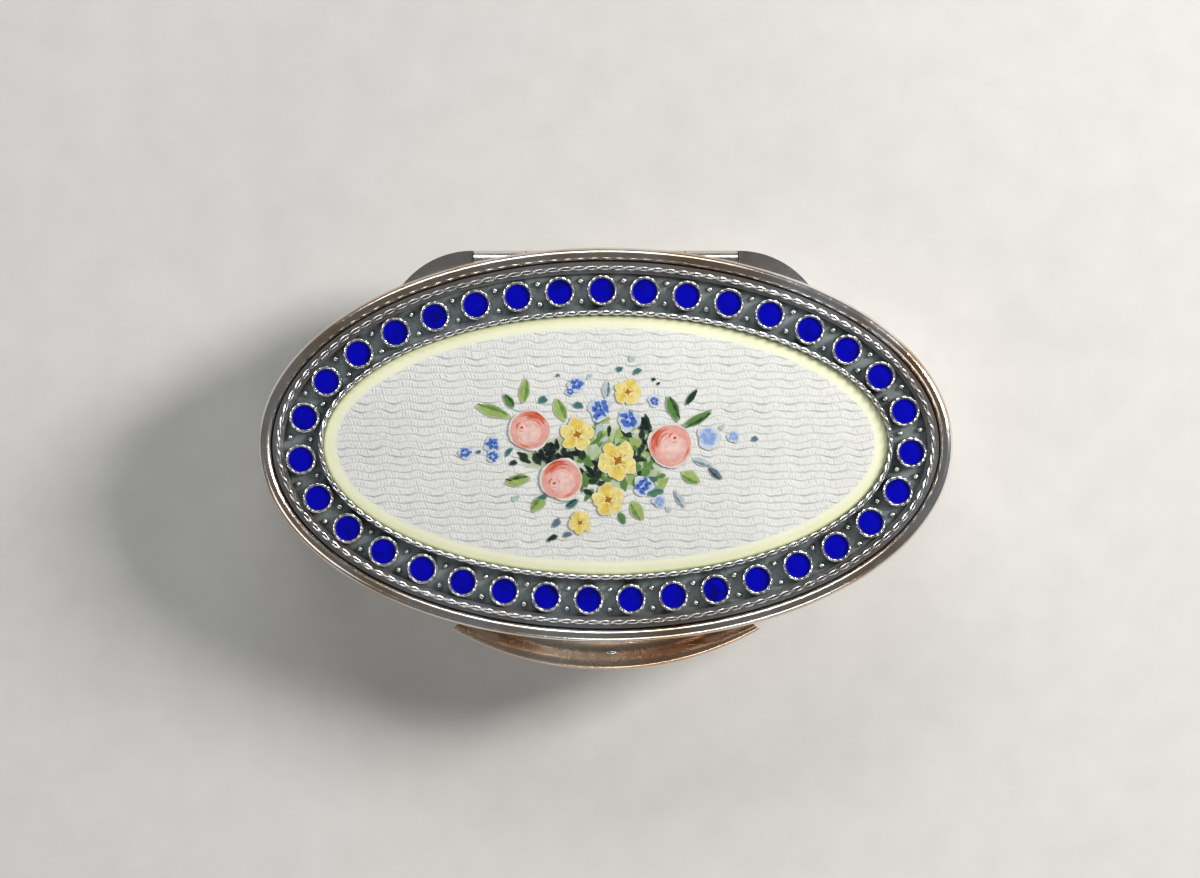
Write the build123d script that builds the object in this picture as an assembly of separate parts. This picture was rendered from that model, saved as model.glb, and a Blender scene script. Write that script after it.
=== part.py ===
from build123d import *
import math
import os

# Oval snap-lid pill box in silver: a deep pan with a sprung bezel, and a hinged lid that carries
# an enamelled plaque inside a channel of small collars, granules and twisted wire.
# Millimetres. X runs along the box, +Y to the hinge, +Z up. The origin is the middle of the
# flat bottom. An oval is named by how far it lies inside the lid's outline, its inset.

# Overall
lid_length = 51.0
lid_width = 29.0
pan_height = 9.0

# Walls of the pan and the lid
wall_inset = 0.5
wall = 0.5
floor = 0.5
bottom_radius = 2.5
skirt_height = 1.7
plate_thickness = 0.4

# Wires round the edges
rim_wire_r = 0.5
rim_wire_flat = 0.15
mouth_wire_r = 0.3
mouth_wire_drop = 0.15

# Sprung bezel inside the pan
bezel_clearance = 0.25
bezel_wall = 0.4
bezel_depth = 2.5
bezel_lap = 0.4
bezel_top_gap = 0.1

# Ledge and the outer twisted wire
ledge_height = 0.65
ledge_gap = 0.04
rope_r = 0.33
rope_inset = 1.5
rope_flat = 0.04
tray_gap = 0.05

# Plaque, its bezel and the inner twisted wire
plaque_side = 0.2
inner_rope_r = 0.32
plaque_bezel_wall = 0.4
plaque_bezel_height = 0.9
plaque_gap = 0.02
plaque_rise = 0.9
counter_enamel = 0.2
plaque_metal = 0.3
plaque_glaze = 0.4

# Channel of collars
tray_thickness = 0.25
dot_spacing = 3.12
first_dot = 0.82
channel_gap = 0.05
collar_r = 1.13
collar_bore_r = 0.9
collar_height = 0.7
collar_rope_r = 0.16
collar_rope_flat = 0.03
dot_gap = 0.02
dot_sink = 0.1
dot_rise = 0.12
granule_r = 0.23
granule_flat = 0.03
granule_offset = 0.75

# Hinge
barrel_r = 0.8
barrel_gap = 0.1
pin_r = 0.35
pin_clearance = 0.05
hinge_length = 19.5
knuckle_count = 5
knuckle_gap = 0.1
hinge_back = 0.1
foot_front = 0.5
foot_lap = 0.15
bed_thickness = 1.8
bed_round = 0.7
bed_gap = 0.05
bed_cradle = 0.6
foot_back_gap = 0.05
ear_reach = 5.3
ear_drop = 2.65

# Thumb lip and catch
lip_reach = 2.1
lip_arc_r = 23.3
lip_half = 11.4
lip_thickness = 0.85
lip_gap = 0.1
lip_tip_cut = 0.9
lip_tip_width = 0.1
lip_round = 0.34
catch_r = 0.25
catch_clearance = 0.03
catch_apart = 0.05

# Heights and places that follow from them
plate_bottom = pan_height + skirt_height - plate_thickness
plate_top = pan_height + skirt_height
tray_top = plate_top + tray_thickness
ledge_top = plate_top + ledge_height
skirt_inner = wall_inset + wall
bezel_inset = skirt_inner + bezel_clearance
bezel_top = plate_bottom - bezel_top_gap
ledge_inset = max(skirt_inner, 2 * rim_wire_r) + ledge_gap
ledge_inner = rope_inset + rope_r + tray_gap
collar_ring_r = (collar_r + collar_bore_r) / 2 + collar_rope_r
dot_inset = rope_inset + rope_r + channel_gap + collar_ring_r
dot_side = plaque_side / 2
plaque_inset = dot_inset + collar_ring_r + channel_gap + inner_rope_r
plaque_bezel_inset = plaque_inset - plaque_bezel_wall / 2
plaque_edge_inset = plaque_inset + plaque_bezel_wall / 2 + plaque_gap
hinge_y = lid_width / 2 - hinge_back - barrel_r
hinge_z = pan_height
notch_half = hinge_length / 2 + knuckle_gap
notch_r = barrel_r + barrel_gap
lid_bore_r = pin_r + pin_clearance
knuckle_length = (hinge_length - (knuckle_count - 1) * knuckle_gap) / knuckle_count


def semi_axes(inset, side=0.0):
    return lid_length / 2 - inset, lid_width / 2 - inset - side


def oval_disc(inset, bottom, top, side=0.0):
    semi_x, semi_y = semi_axes(inset, side)
    return Pos(0, 0, bottom) * extrude(Ellipse(semi_x, semi_y), top - bottom)


def oval_band(outer, inner, bottom, top, side=0.0):
    return oval_disc(outer, bottom, top, side) - oval_disc(inner, bottom, top, side)


# A round wire bent round an oval and filed flat where it is soldered down.
def oval_wire(inset, radius, seat, flat, side=0.0):
    semi_x, semi_y = semi_axes(inset, side)
    path = Pos(0, 0, seat + radius - flat) * Wire([Edge.make_ellipse(semi_x, semi_y)])
    section = Plane(origin=path @ 0, z_dir=path % 0) * Circle(radius)
    return split(sweep(section, path=path), bisect_by=Plane(origin=(0, 0, seat)), keep=Keep.TOP)


# A shallow oval dome of even thickness, spun as a round one and stretched to the oval's length.
def domed_layer(bottom, thickness):
    semi_x, semi_y = semi_axes(plaque_edge_inset, plaque_side)
    sphere_r = (semi_y ** 2 + plaque_rise ** 2) / (2 * plaque_rise)
    middle = (semi_y / 2, plaque_rise - sphere_r + math.sqrt(sphere_r ** 2 - semi_y ** 2 / 4))
    lower = ThreePointArc((0, plaque_rise), middle, (semi_y, 0))
    edge = Line((semi_y, 0), (semi_y, thickness))
    middle_above = (middle[0], middle[1] + thickness)
    upper = ThreePointArc((semi_y, thickness), middle_above, (0, plaque_rise + thickness))
    axis_line = Line((0, plaque_rise + thickness), (0, plaque_rise))
    profile = make_face([lower, edge, upper, axis_line])
    round_dome = revolve(Plane.XZ * profile, Axis.Z)
    return Pos(0, 0, bottom) * scale(round_dome, by=(semi_x / semi_y, 1, 1))


# Places at even steps along the oval that the collars stand on, counted from its right end.
def channel_places(first_step, offset=0.0):
    semi_x, semi_y = semi_axes(dot_inset, dot_side)
    path = Edge.make_ellipse(semi_x, semi_y)
    dot_count = round(path.length / dot_spacing)
    places = []
    for step in range(dot_count):
        along = ((step + first_step) / dot_count) % 1
        point = path.position_at(along)
        forward = path.tangent_at(along)
        outward = Vector(forward.Y, -forward.X, 0)
        places.append(point + outward * offset)
    return places


def copies(shape, places):
    return Compound([Pos(place.X, place.Y, 0) * shape for place in places])


# Room for the barrel, all along the hinge.
def barrel_notch():
    return Pos(0, hinge_y, hinge_z) * Cylinder(notch_r, 2 * notch_half, rotation=(0, 90, 0))


# Plan of the hinge bed: a straight back edge as long as the barrel, and an ear at each end.
def bed_plan():
    back = hinge_y + barrel_r
    ear_r = (ear_reach ** 2 + ear_drop ** 2) / (2 * ear_drop)
    ear_tip = (notch_half + ear_reach, back - ear_drop)
    turn = math.asin(ear_reach / ear_r) / 2
    half_ear = (notch_half + ear_r * math.sin(turn), back - ear_r + ear_r * math.cos(turn))
    root = (notch_half + ear_reach, back - 2 * ear_drop)
    lines = [
        Line((0, back), (notch_half, back)),
        ThreePointArc((notch_half, back), half_ear, ear_tip),
        Line(ear_tip, root),
        Line(root, (0, root[1])),
        Line((0, root[1]), (0, back)),
    ]
    half = make_face(lines)
    return half + mirror(half, about=Plane.YZ)


def base_pan():
    outer = oval_disc(wall_inset, 0, pan_height)
    outer = fillet(outer.edges().sort_by(Axis.Z)[0], bottom_radius)
    inner = oval_disc(skirt_inner, floor, pan_height)
    inner = fillet(inner.edges().sort_by(Axis.Z)[0], bottom_radius - wall)
    return outer - inner - barrel_notch()


# Under the barrel the bed is cut down, so that the open lid's back clears it.
def hinge_bed():
    top = pan_height - bed_gap
    slab = Pos(0, 0, top - bed_thickness) * extrude(bed_plan(), bed_thickness)
    low_edges = slab.edges().group_by(Axis.Z)[0]
    back_edges = low_edges.filter_by(lambda edge: edge.center().Y > hinge_y - ear_drop)
    slab = fillet(back_edges, bed_round)
    swing = Pos(0, hinge_y, hinge_z) * Box(2 * notch_half, 2 * notch_r, 2 * bed_cradle)
    return slab - oval_disc(wall_inset, 0, pan_height) - barrel_notch() - swing


# Half-round wire along the outside of the pan's mouth, stopped at the hinge bed.
def base_rim_wire():
    semi_x, semi_y = semi_axes(wall_inset)
    path = Pos(0, 0, pan_height - mouth_wire_drop - mouth_wire_r) * Wire([Edge.make_ellipse(semi_x, semi_y)])
    section = Plane(origin=path @ 0, z_dir=path % 0) * Circle(mouth_wire_r)
    return sweep(section, path=path) - oval_disc(wall_inset, 0, pan_height) - extrude(bed_plan(), pan_height)


def base_bezel():
    lower = oval_band(skirt_inner, skirt_inner + bezel_wall, pan_height - bezel_depth, pan_height)
    upper = oval_band(bezel_inset, bezel_inset + bezel_wall, pan_height - bezel_lap, bezel_top)
    cut_floor = hinge_z - notch_r - bezel_lap
    cut_height = bezel_top - cut_floor
    cut = Box(2 * notch_half, lid_width, 2 * cut_height)
    return lower + upper - Pos(0, lid_width / 2, cut_floor + cut_height) * cut


def knuckle_middle(number):
    return -hinge_length / 2 + knuckle_length / 2 + number * (knuckle_length + knuckle_gap)


# One barrel knuckle with the foot that fills the notch above (lid) or below (pan) it.
def knuckle(number, bore_r, foot_sign, foot_front, foot_back, neighbours):
    tube = Cylinder(barrel_r, knuckle_length, rotation=(0, 90, 0))
    foot_height = notch_r + foot_lap
    foot = Box(knuckle_length, foot_front + foot_back, foot_height)
    foot = Pos(0, (foot_back - foot_front) / 2, foot_sign * foot_height / 2) * foot
    bore = Cylinder(bore_r, knuckle_length, rotation=(0, 90, 0))
    body = Pos(knuckle_middle(number), hinge_y, hinge_z) * (tube + foot - bore)
    for neighbour in neighbours:
        body = body - neighbour
    return body


def hinge_pin():
    return Pos(0, hinge_y, hinge_z) * Cylinder(pin_r, hinge_length, rotation=(0, 90, 0))


def lid_skirt():
    return oval_band(wall_inset, skirt_inner, pan_height, plate_top) - barrel_notch()


def lid_plate():
    return oval_disc(skirt_inner, plate_bottom, plate_top)


# Crescent in front of the skirt, its outer edge one arc and its ends cut back to points.
def thumb_lip():
    bottom = pan_height + lip_gap
    centre_y = lip_arc_r - lid_width / 2 - lip_reach
    disc = Pos(0, centre_y, bottom + lip_thickness / 2) * Cylinder(lip_arc_r, lip_thickness)
    disc = fillet(disc.edges(), lip_round)
    tip_y = centre_y - math.sqrt(lip_arc_r ** 2 - lip_half ** 2)
    keep = Polygon(
        (-lip_half, tip_y - lip_tip_width),
        (-lip_half, -lid_width),
        (lip_half, -lid_width),
        (lip_half, tip_y - lip_tip_width),
        (lip_half - lip_tip_cut, tip_y + lip_tip_cut),
        (lip_half - lip_tip_cut, 0),
        (-lip_half + lip_tip_cut, 0),
        (-lip_half + lip_tip_cut, tip_y + lip_tip_cut),
        align=None,
    )
    kept = disc & (Pos(0, 0, bottom) * extrude(keep, lip_thickness))
    return kept - oval_disc(wall_inset, bottom, bottom + lip_thickness)


# The two snap beads, each half of what is left between skirt and bezel after the clearance.
def catch_height():
    return (bezel_clearance - catch_clearance) / 2


def catch_cylinder(height):
    return Pos(0, -lid_width / 2, height) * Cylinder(catch_r, lid_width, rotation=(90, 0, 0))


def catch_nib():
    height = pan_height + catch_r + catch_apart * 2
    ring = oval_band(skirt_inner, skirt_inner + catch_height(), pan_height, plate_bottom)
    return ring & catch_cylinder(height)


def catch_bead():
    height = pan_height + 3 * catch_r + catch_apart * 3
    ring = oval_band(bezel_inset - catch_height(), bezel_inset, pan_height, plate_bottom)
    return ring & catch_cylinder(height)


def dot_collar():
    tube = Cylinder(collar_r, collar_height) - Cylinder(collar_bore_r, collar_height)
    return Pos(0, 0, tray_top + collar_height / 2) * tube


def dot_rope_ring():
    seat = tray_top + collar_height
    section = Pos((collar_r + collar_bore_r) / 2, seat + collar_rope_r - collar_rope_flat) * Circle(collar_rope_r)
    ring = revolve(Plane.XZ * section, Axis.Z)
    return split(ring, bisect_by=Plane(origin=(0, 0, seat)), keep=Keep.TOP)


# A cylinder of enamel with a domed top, filling the collar.
def dot_enamel():
    radius = collar_bore_r - dot_gap
    edge = tray_top + collar_height - dot_sink
    cap_r = (radius ** 2 + dot_rise ** 2) / (2 * dot_rise)
    turn = math.asin(radius / cap_r) / 2
    half_way = (cap_r * math.sin(turn), edge + dot_rise - cap_r + cap_r * math.cos(turn))
    profile = make_face([
        Line((0, tray_top), (radius, tray_top)),
        Line((radius, tray_top), (radius, edge)),
        ThreePointArc((radius, edge), half_way, (0, edge + dot_rise)),
        Line((0, edge + dot_rise), (0, tray_top)),
    ])
    return revolve(Plane.XZ * profile, Axis.Z)


def granule():
    ball = Pos(0, 0, tray_top + granule_r - granule_flat) * Sphere(granule_r)
    return split(ball, bisect_by=Plane(origin=(0, 0, tray_top)), keep=Keep.TOP)


def filigree_tray():
    outer = oval_disc(ledge_inner, plate_top, tray_top)
    return outer - oval_disc(plaque_bezel_inset, plate_top, tray_top, plaque_side)


def plaque_bezel():
    top = plate_top + plaque_bezel_height
    outer = oval_disc(plaque_bezel_inset, plate_top, top, plaque_side)
    return outer - oval_disc(plaque_bezel_inset + plaque_bezel_wall, plate_top, top, plaque_side)


def build_parts():
    parts = {}
    parts["base_pan"] = base_pan()
    parts["hinge_bed"] = hinge_bed()
    parts["base_rim_wire"] = base_rim_wire()
    parts["base_bezel"] = base_bezel()
    parts["catch_bead"] = catch_bead()
    parts["hinge_pin"] = hinge_pin()
    parts["lid_skirt"] = lid_skirt()
    parts["lid_plate"] = lid_plate()
    parts["lid_rim_wire"] = oval_wire(rim_wire_r, rim_wire_r, plate_top, rim_wire_flat)
    parts["lid_ledge"] = oval_band(ledge_inset, ledge_inner, plate_top, ledge_top)
    parts["outer_rope"] = oval_wire(rope_inset, rope_r, ledge_top, rope_flat)
    parts["filigree_tray"] = filigree_tray()
    parts["plaque_bezel"] = plaque_bezel()
    plaque_bezel_top = plate_top + plaque_bezel_height
    parts["inner_rope"] = oval_wire(plaque_inset, inner_rope_r, plaque_bezel_top, rope_flat, plaque_side)
    parts["plaque_counter_enamel"] = domed_layer(plate_top, counter_enamel)
    parts["plaque_plate"] = domed_layer(plate_top + counter_enamel, plaque_metal)
    parts["plaque_enamel"] = domed_layer(plate_top + counter_enamel + plaque_metal, plaque_glaze)
    on_collars = channel_places(first_dot)
    between_collars = first_dot + 0.5
    parts["dot_collars"] = copies(dot_collar(), on_collars)
    parts["dot_rope_rings"] = copies(dot_rope_ring(), on_collars)
    parts["dot_enamels"] = copies(dot_enamel(), on_collars)
    parts["granules_outer"] = copies(granule(), channel_places(between_collars, granule_offset))
    parts["granules_inner"] = copies(granule(), channel_places(between_collars, -granule_offset))
    parts["thumb_lip"] = thumb_lip()
    parts["catch_nib"] = catch_nib()
    base_side = [parts["base_pan"], parts["hinge_bed"]]
    skirt_back = lid_width / 2 - wall_inset - hinge_y
    foot_back = barrel_r - foot_back_gap
    for number, name in ((0, "left"), (2, "middle"), (4, "right")):
        parts["base_knuckle_" + name] = knuckle(number, pin_r, -1, foot_front, foot_back, base_side)
    for number, name in ((1, "left"), (3, "right")):
        lid_side = [parts["lid_skirt"], parts["lid_plate"]]
        parts["lid_knuckle_" + name] = knuckle(number, lid_bore_r, 1, foot_front, skirt_back, lid_side)
    return parts


def main():
    os.makedirs("parts", exist_ok=True)
    for name, shape in build_parts().items():
        export_step(shape, "parts/" + name + ".step")
        print(name, round(shape.volume, 3))


main()
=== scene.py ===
import math
import random
import bmesh
import bpy
from mathutils import Matrix, Vector


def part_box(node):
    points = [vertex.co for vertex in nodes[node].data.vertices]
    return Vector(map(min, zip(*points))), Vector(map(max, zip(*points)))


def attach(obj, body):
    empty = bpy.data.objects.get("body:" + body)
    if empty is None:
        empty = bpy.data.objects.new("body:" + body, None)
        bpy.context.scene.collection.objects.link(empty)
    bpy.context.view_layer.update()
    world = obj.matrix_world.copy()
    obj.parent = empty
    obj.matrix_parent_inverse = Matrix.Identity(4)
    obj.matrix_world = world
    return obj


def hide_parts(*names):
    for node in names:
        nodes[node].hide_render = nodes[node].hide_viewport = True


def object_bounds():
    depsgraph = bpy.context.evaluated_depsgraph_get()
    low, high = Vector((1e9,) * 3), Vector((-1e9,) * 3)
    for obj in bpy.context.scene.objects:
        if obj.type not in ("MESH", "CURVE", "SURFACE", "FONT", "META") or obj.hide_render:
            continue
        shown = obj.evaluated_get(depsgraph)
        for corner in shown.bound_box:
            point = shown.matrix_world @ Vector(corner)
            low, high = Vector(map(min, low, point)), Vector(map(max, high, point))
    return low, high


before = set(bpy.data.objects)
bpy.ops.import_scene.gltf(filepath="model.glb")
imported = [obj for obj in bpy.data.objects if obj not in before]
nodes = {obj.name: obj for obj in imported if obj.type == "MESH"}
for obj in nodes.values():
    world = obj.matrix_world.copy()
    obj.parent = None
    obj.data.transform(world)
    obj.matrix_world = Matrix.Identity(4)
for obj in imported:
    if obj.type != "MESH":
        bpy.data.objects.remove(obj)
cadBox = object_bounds()
mm = 0.001
random.seed(7)
print("frame loaded:", len(nodes), "nodes")


def startClean():
    if bpy.context.object and bpy.context.object.mode != "OBJECT":
        bpy.ops.object.mode_set(mode="OBJECT")
    bpy.ops.object.select_all(action="DESELECT")


def pick(*pieces):
    startClean()
    for piece in pieces:
        piece.select_set(True)
    bpy.context.view_layer.objects.active = pieces[0]


def applyPlace(piece):
    pick(piece)
    bpy.ops.object.transform_apply(location=True, rotation=True, scale=True)


def applyModifiers(piece):
    pick(piece)
    for modifier in list(piece.modifiers):
        bpy.ops.object.modifier_apply(modifier=modifier.name)


# Selects in edit mode what wanted says yes to: kind is VERT, EDGE or FACE
def editSelect(piece, kind, wanted):
    pick(piece)
    bpy.ops.object.mode_set(mode="EDIT")
    bpy.ops.mesh.select_mode(type=kind)
    bpy.ops.mesh.select_all(action="DESELECT")
    data = bmesh.from_edit_mesh(piece.data)
    parts = {"VERT": data.verts, "EDGE": data.edges, "FACE": data.faces}[kind]
    for part in parts:
        part.select = wanted(part)
    data.select_flush_mode()
    bmesh.update_edit_mesh(piece.data)


def objectMode():
    bpy.ops.object.mode_set(mode="OBJECT")


def cleanNormals(piece, mergeBelow=0.000002):
    editSelect(piece, "FACE", lambda face: True)
    bpy.ops.mesh.remove_doubles(threshold=mergeBelow)
    bpy.ops.mesh.normals_make_consistent(inside=False)
    objectMode()


def smooth(piece, degrees=35):
    pick(piece)
    bpy.ops.object.shade_smooth_by_angle(angle=math.radians(degrees))


def named(name):
    piece = bpy.context.object
    piece.name = name
    piece.data.name = name
    return piece


def copyMesh(template, matrix):
    piece = bpy.data.objects.new(template.name, template.data.copy())
    bpy.context.scene.collection.objects.link(piece)
    piece.data.transform(matrix)
    return piece


def joinAll(pieces, name):
    pick(*pieces)
    bpy.ops.object.join()
    return named(name)


# Middle of every separate solid in a CAD node, such as each enamel dot
def solidMiddles(node, apart):
    data = bmesh.new()
    data.from_mesh(nodes[node].data)
    seen = set()
    middles = []
    for start in data.verts:
        if start in seen:
            continue
        seen.add(start)
        low = start.co.copy()
        high = start.co.copy()
        waiting = [start]
        while waiting:
            vertex = waiting.pop()
            low = Vector([min(pair) for pair in zip(low, vertex.co)])
            high = Vector([max(pair) for pair in zip(high, vertex.co)])
            for edge in vertex.link_edges:
                other = edge.other_vert(vertex)
                if other not in seen:
                    seen.add(other)
                    waiting.append(other)
        middle = (low + high) / 2
        if all(math.hypot(middle.x - m.x, middle.y - m.y) > apart for m in middles):
            middles.append(middle)
    data.free()
    return sorted(middles, key=lambda m: math.atan2(m.y, m.x))


def newMaterial(name):
    material = bpy.data.materials.new(name)
    material.use_nodes = True
    tree = material.node_tree
    tree.nodes.clear()
    out = tree.nodes.new("ShaderNodeOutputMaterial")
    shader = tree.nodes.new("ShaderNodeBsdfPrincipled")
    tree.links.new(shader.outputs[0], out.inputs[0])
    return material, tree, shader


def mathNode(tree, operation, first, second=None, third=None):
    node = tree.nodes.new("ShaderNodeMath")
    node.operation = operation
    for index, value in enumerate((first, second, third)):
        if value is None:
            continue
        if isinstance(value, (int, float)):
            node.inputs[index].default_value = value
        else:
            tree.links.new(value, node.inputs[index])
    return node.outputs[0]


def ramp(tree, source, stops, smoothly=False):
    node = tree.nodes.new("ShaderNodeValToRGB")
    node.color_ramp.interpolation = "EASE" if smoothly else "LINEAR"
    elements = node.color_ramp.elements
    while len(elements) > 1:
        elements.remove(elements[-1])
    for index, (place, colour) in enumerate(stops):
        element = elements[0] if index == 0 else elements.new(place)
        element.position = place
        element.color = (*colour, 1) if isinstance(colour, tuple) else (colour, colour, colour, 1)
    tree.links.new(source, node.inputs[0])
    return node.outputs[0]


def mixColour(tree, factor, first, second, blend="MIX"):
    node = tree.nodes.new("ShaderNodeMix")
    node.data_type = "RGBA"
    node.blend_type = blend
    for socket, value in ((node.inputs[0], factor), (node.inputs[6], first), (node.inputs[7], second)):
        if isinstance(value, tuple):
            socket.default_value = (*value, 1)
        elif isinstance(value, (int, float)):
            socket.default_value = value
        else:
            tree.links.new(value, socket)
    return node.outputs[2]


def noise(tree, vector, scale, detail=3.0, roughness=0.55):
    node = tree.nodes.new("ShaderNodeTexNoise")
    node.inputs["Scale"].default_value = scale
    node.inputs["Detail"].default_value = detail
    node.inputs["Roughness"].default_value = roughness
    tree.links.new(vector, node.inputs["Vector"])
    return node.outputs[0]


def bump(tree, height, distance):
    node = tree.nodes.new("ShaderNodeBump")
    node.inputs["Distance"].default_value = distance
    tree.links.new(height, node.inputs["Height"])
    return node.outputs[0]


def times(tree, first, second):
    return mathNode(tree, "MULTIPLY", first, second)


def timesPlus(tree, first, second, third):
    return mathNode(tree, "MULTIPLY_ADD", first, second, third)


def plus(tree, first, second):
    return mathNode(tree, "ADD", first, second)


def minus(tree, first, second):
    return mathNode(tree, "SUBTRACT", first, second)


def over(tree, first, second):
    return mathNode(tree, "DIVIDE", first, second)


def sine(tree, source):
    return mathNode(tree, "SINE", source)


def stretched(tree, place, scale, turn=0.0):
    node = tree.nodes.new("ShaderNodeMapping")
    node.inputs["Rotation"].default_value = (0, 0, turn)
    node.inputs["Scale"].default_value = scale
    tree.links.new(place, node.inputs["Vector"])
    return node.outputs[0]


def objectPlace(tree):
    return tree.nodes.new("ShaderNodeTexCoord").outputs["Object"]


def groupNode(tree, group, **values):
    node = tree.nodes.new("ShaderNodeGroup")
    node.node_tree = group
    for name, value in values.items():
        node.inputs[name].default_value = value
    return node


# Noise scales are per metre, and each pair of stops says where a mask starts and ends
# hollow holds the ambient occlusion stops for the oxide and painted shade in hollows
tarnish = {
    "hollow": ((0.46, 1.0), (0.8, 0.0)), "ridge": ((0.5, 0.0), (0.58, 1.0)), "rub": 0.6,
    "patchScale": 420, "patches": ((0.42, 0.0), (0.62, 1.0)), "patchStain": 0.55, "patchHeight": 0.25,
    "cloudScale": 95, "clouds": ((0.44, 0.0), (0.66, 1.0)),
    "speckScale": 2600, "specks": ((0.55, 0.0), (0.72, 1.0)), "speckStain": 0.35, "speckHeight": -0.2,
    "scratchTurns": ((0.35, (420, 15000, 2000)), (-0.9, (13000, 380, 2000))),
    "scratches": ((0.63, 0.0), (0.7, 1.0)), "scratchRough": 0.15, "scratchHeight": -0.12,
    "dirtRough": 0.9, "patchRough": 0.25,
}


# Tarnish that settles in hollows, where ambient occlusion also paints in shade, with rubbed high spots,
# scratches and smudges
def makeTarnishAndShadeGroup():
    group = bpy.data.node_groups.new("tarnishShadeAndRub", "ShaderNodeTree")
    face = group.interface
    for name in ("Clean", "Dark", "Warm"):
        face.new_socket(name, in_out="INPUT", socket_type="NodeSocketColor")
    for name in ("Amount", "Crevice", "Reach", "WarmAmount", "RoughLow", "RoughHigh"):
        face.new_socket(name, in_out="INPUT", socket_type="NodeSocketFloat")
    face.new_socket("Colour", in_out="OUTPUT", socket_type="NodeSocketColor")
    for name in ("Roughness", "Height"):
        face.new_socket(name, in_out="OUTPUT", socket_type="NodeSocketFloat")
    start = group.nodes.new("NodeGroupInput").outputs
    end = group.nodes.new("NodeGroupOutput").inputs
    place = objectPlace(group)
    geometry = group.nodes.new("ShaderNodeNewGeometry")
    # Ambient occlusion darkens hollows and the gaps next to other parts: oxide there, and painted shade
    # as well
    hidden = group.nodes.new("ShaderNodeAmbientOcclusion")
    hidden.samples = 6
    group.links.new(start["Reach"], hidden.inputs["Distance"])
    hollow = times(group, ramp(group, hidden.outputs["AO"], tarnish["hollow"]), start["Crevice"])
    ridge = ramp(group, geometry.outputs["Pointiness"], tarnish["ridge"])
    patches = ramp(group, noise(group, place, tarnish["patchScale"], 5, 0.65), tarnish["patches"])
    clouds = ramp(group, noise(group, place, tarnish["cloudScale"], 3, 0.5), tarnish["clouds"])
    specks = ramp(group, noise(group, place, tarnish["speckScale"], 3, 0.7), tarnish["specks"])
    scratchMasks = []
    for turn, stretch in tarnish["scratchTurns"]:  # noise drawn out along two directions
        streaks = noise(group, stretched(group, place, stretch, turn), 1.0, 2, 0.5)
        scratchMasks.append(ramp(group, streaks, tarnish["scratches"]))
    scratches = mathNode(group, "MAXIMUM", *scratchMasks)
    stain = times(group, patches, tarnish["patchStain"])
    stain = timesPlus(group, specks, tarnish["speckStain"], stain)
    # Real stains, plus the hollow mask of oxide and painted shade, less what is rubbed off the ridges
    dirtAndShade = timesPlus(group, stain, start["Amount"], hollow)
    dirtAndShade = minus(group, dirtAndShade, times(group, ridge, tarnish["rub"]))
    dirtAndShade = mathNode(group, "MINIMUM", mathNode(group, "MAXIMUM", dirtAndShade, 0.0), 1.0)
    colour = mixColour(group, times(group, clouds, start["WarmAmount"]), start["Clean"], start["Warm"])
    group.links.new(mixColour(group, dirtAndShade, colour, start["Dark"]), end["Colour"])
    worn = times(group, dirtAndShade, tarnish["dirtRough"])
    worn = timesPlus(group, scratches, tarnish["scratchRough"], worn)
    worn = mathNode(group, "MINIMUM", timesPlus(group, patches, tarnish["patchRough"], worn), 1.0)
    spread = minus(group, start["RoughHigh"], start["RoughLow"])
    group.links.new(timesPlus(group, spread, worn, start["RoughLow"]), end["Roughness"])
    height = times(group, patches, tarnish["patchHeight"])
    height = timesPlus(group, scratches, tarnish["scratchHeight"], height)
    group.links.new(timesPlus(group, specks, tarnish["speckHeight"], height), end["Height"])
    return group


tarnishAndShadeGroup = makeTarnishAndShadeGroup()


# One kind of silver, from its colours, its tarnish, the painted shade that its dark colour gives in
# hollows, and its polish; reach and bump are millimetres
def silverMaterial(name, values):
    material, tree, shader = newMaterial(name)
    wearAndShade = groupNode(
        tree, tarnishAndShadeGroup, Clean=(*values["clean"], 1), Dark=(*values["dark"], 1),
        Warm=(*values["warm"], 1), Amount=values["tarnish"], WarmAmount=values["warmAmount"],
        Crevice=values["creviceOxideAndShade"], Reach=values["reach"] * mm,
        RoughLow=values["smooth"], RoughHigh=values["rough"])
    tree.links.new(wearAndShade.outputs["Colour"], shader.inputs["Base Color"])
    tree.links.new(wearAndShade.outputs["Roughness"], shader.inputs["Roughness"])
    shader.inputs["Metallic"].default_value = values.get("metallic", 1.0)
    normal = bump(tree, wearAndShade.outputs["Height"], values["bump"] * mm)
    tree.links.new(normal, shader.inputs["Normal"])
    return material


rimSilver = silverMaterial("rimSilver", {
    "clean": (0.92, 0.89, 0.86), "dark": (0.16, 0.11, 0.07), "warm": (0.56, 0.36, 0.21),
    "tarnish": 0.4, "warmAmount": 0.85, "creviceOxideAndShade": 0.7, "reach": 0.5,
    "smooth": 0.16, "rough": 0.42, "bump": 0.012})
bodySilver = silverMaterial("bodySilver", {
    "clean": (0.80, 0.78, 0.75), "dark": (0.14, 0.12, 0.10), "warm": (0.52, 0.40, 0.28),
    "tarnish": 0.35, "warmAmount": 0.45, "creviceOxideAndShade": 0.7, "reach": 0.6,
    "smooth": 0.18, "rough": 0.45, "bump": 0.012})
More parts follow.
